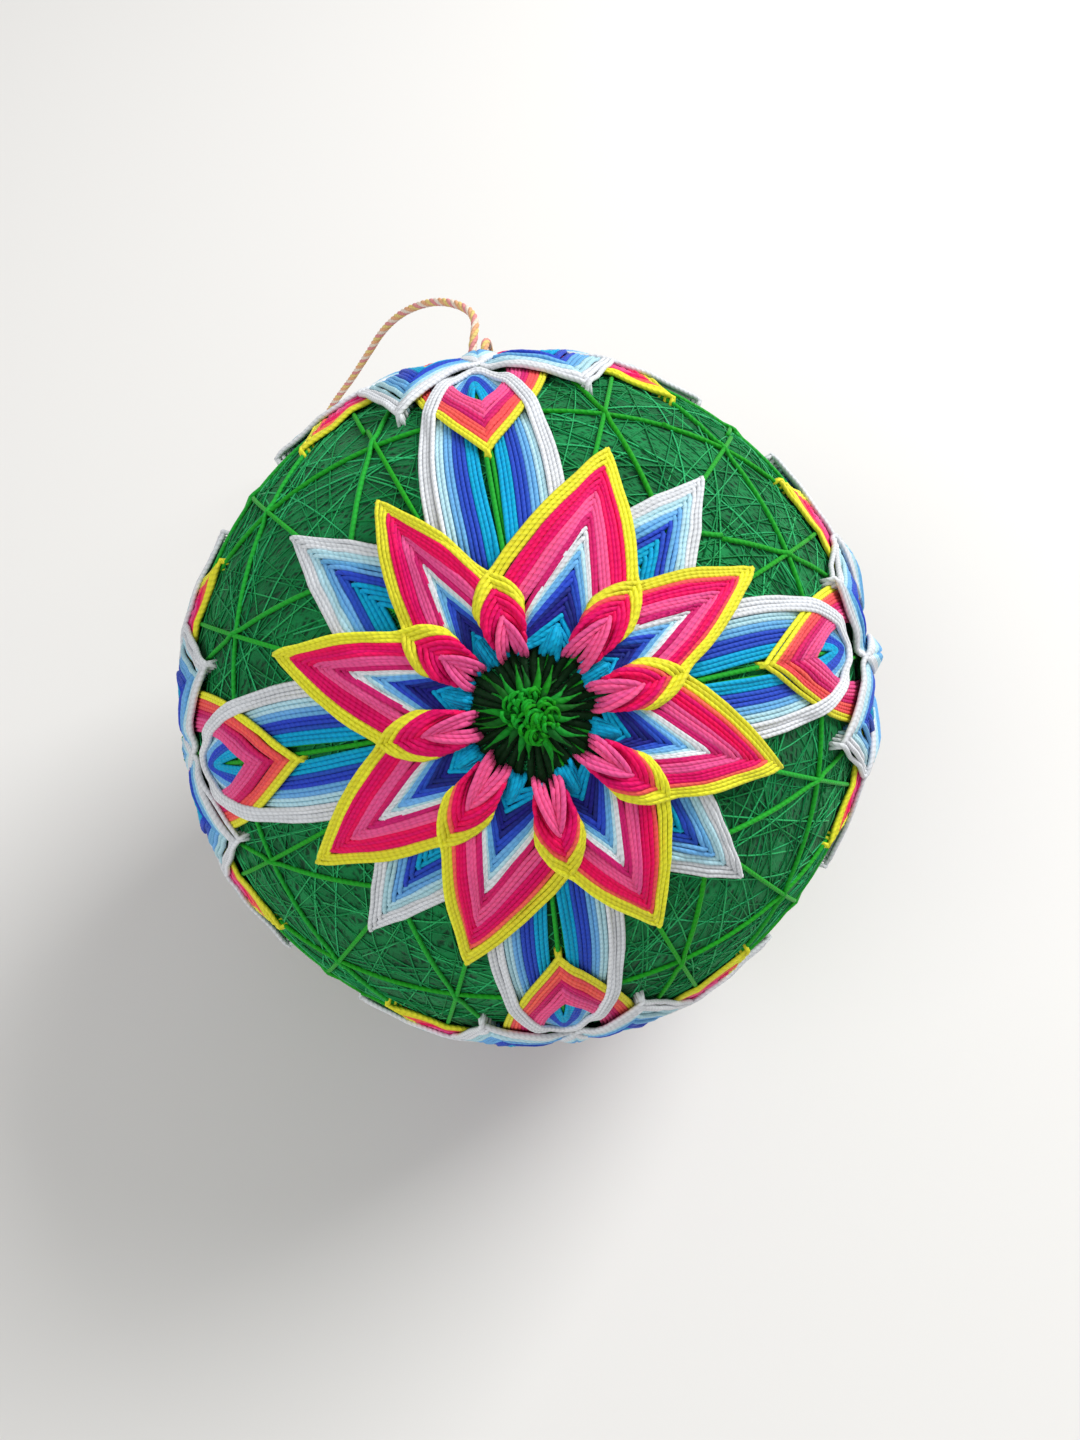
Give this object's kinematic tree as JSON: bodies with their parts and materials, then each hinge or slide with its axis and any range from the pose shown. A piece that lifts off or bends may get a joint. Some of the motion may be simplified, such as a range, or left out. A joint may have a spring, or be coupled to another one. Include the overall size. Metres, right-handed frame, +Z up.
{
  "type": "temari ball",
  "caption": "Thread-wrapped temari ball embroidered with layered star flowers, long ovals and chevrons, with a twisted cord loop, resting on a small flat spot.",
  "frame": {"origin": "middle of the ball on the surface it rests on, under its flat spot", "axes": "+Z up, +X to the right, the viewer on the -Y side with the front flower facing up and towards the viewer"},
  "size_m": [0.0941, 0.1288, 0.09],
  "materials": {
    "wrap_thread": "fine matt green sewing thread wound at random over the ball",
    "pink_thread": "soft lustre cotton thread in rows of yellow, coral, crimson and pink",
    "white_thread": "soft lustre cotton thread in rows of white, aqua and blues",
    "blue_thread": "soft lustre cotton thread in rows of blues edged with white",
    "yellow_thread": "soft lustre cotton thread, yellow with coral and magenta rows",
    "green_thread": "bright green cotton thread in knotted star stitches and guide lines",
    "cord_thread": "thin cord twisted of yellow, pink, orange and white threads"
  },
  "bodies": {
    "root": {"wound_ball": "wrap_thread", "flower_front": "pink_thread", "flower_back": "pink_thread", "flower_top": "blue_thread", "flower_right": "blue_thread", "flower_low": "blue_thread", "flower_left": "blue_thread", "underlay_front": "white_thread", "underlay_back": "white_thread", "underlay_top": "pink_thread", "underlay_right": "pink_thread", "underlay_low": "pink_thread", "underlay_left": "pink_thread", "chevron_front_1": "yellow_thread", "chevron_front_2": "yellow_thread", "chevron_front_3": "yellow_thread", "chevron_front_4": "yellow_thread", "chevron_back_1": "yellow_thread", "chevron_back_2": "yellow_thread", "chevron_back_3": "yellow_thread", "chevron_back_4": "yellow_thread", "centre_front": "green_thread", "centre_back": "green_thread", "centre_top": "green_thread", "centre_right": "green_thread", "centre_low": "green_thread", "centre_left": "green_thread", "hanging_loop": "cord_thread"}
  },
  "joints": []
}
